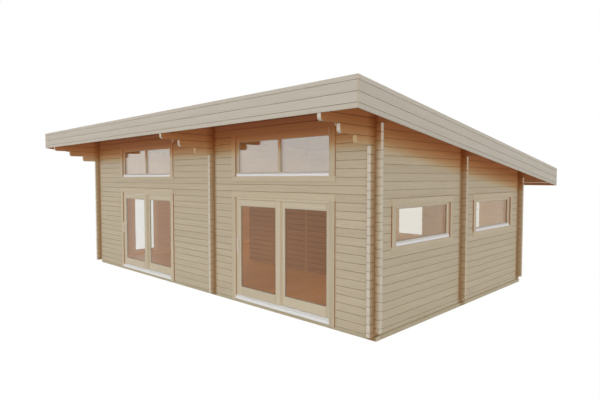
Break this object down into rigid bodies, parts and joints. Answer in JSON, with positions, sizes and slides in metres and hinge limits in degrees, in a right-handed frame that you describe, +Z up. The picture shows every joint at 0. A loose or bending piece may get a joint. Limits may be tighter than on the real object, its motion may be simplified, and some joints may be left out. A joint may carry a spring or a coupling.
{
  "type": "log cabin with single-slope roof",
  "caption": "Free-standing log cabin with a single-slope roof, deep fascia, corbelled front eave, glazed sliding doors with high windows over them, and low side windows.",
  "frame": {"origin": "centre of the whole cabin's footprint, roof overhangs included, at the foot of the foundation beams", "axes": "+X along the front to the right, +Y from the front to the rear, +Z up"},
  "size_m": [11.09, 7.739, 3.7257],
  "materials": {
    "log_timber": "planed raw spruce",
    "foundation_timber": "sawn impregnated timber",
    "floor_timber": "oiled floor boards",
    "roof_timber": "planed roof boards",
    "fascia_timber": "planed spruce boards",
    "trim_timber": "planed spruce boards",
    "joinery_timber": "glued joinery timber",
    "window_glass": "clear sealed glass unit",
    "white_metal": "white coated aluminium",
    "handle_metal": "pale satin coated",
    "roof_covering": "dark mineral roofing sheet"
  },
  "bodies": {
    "root": {"cross_partition_piers": "log_timber", "cross_partition_upper_logs": "log_timber", "door_frames": "joinery_timber", "door_thresholds": "white_metal", "door_trims": "trim_timber", "fixed_door_glass": "window_glass", "fixed_door_leaves": "joinery_timber", "floor_boards": "floor_timber", "foundation_beams": "foundation_timber", "front_corbels": "log_timber", "front_fascia": "fascia_timber", "front_log_ends": "log_timber", "front_wall_door_heads": "log_timber", "front_wall_piers": "log_timber", "front_wall_top_logs": "log_timber", "left_fascia": "fascia_timber", "left_wall_lower_logs": "log_timber", "left_wall_upper_logs": "log_timber", "left_wall_window_piers": "log_timber", "middle_partition_lower_logs": "log_timber", "middle_partition_upper_logs": "log_timber", "rear_fascia": "fascia_timber", "rear_log_ends": "log_timber", "rear_wall_lower_logs": "log_timber", "rear_wall_upper_logs": "log_timber", "rear_wall_window_piers": "log_timber", "right_fascia": "fascia_timber", "right_wall_lower_logs": "log_timber", "right_wall_upper_logs": "log_timber", "right_wall_window_piers": "log_timber", "roof_covering": "roof_covering", "roof_deck": "roof_timber", "side_eave_purlins": "log_timber", "side_log_ends": "log_timber", "window_frames": "joinery_timber", "window_glass": "window_glass", "window_sills": "white_metal", "window_trims": "trim_timber"},
    "left_door": {"left_sliding_leaf": "joinery_timber", "left_sliding_glass": "window_glass", "left_door_handle": "handle_metal"},
    "right_door": {"right_sliding_leaf": "joinery_timber", "right_sliding_glass": "window_glass", "right_door_handle": "handle_metal"}
  },
  "joints": [
    {"name": "left_door_slide", "type": "slide", "parent": "root", "child": "left_door", "axis": [1, 0, 0], "range_m": [0, 1.1]},
    {"name": "right_door_slide", "type": "slide", "parent": "root", "child": "right_door", "axis": [1, 0, 0], "range_m": [0, 1.1]}
  ]
}
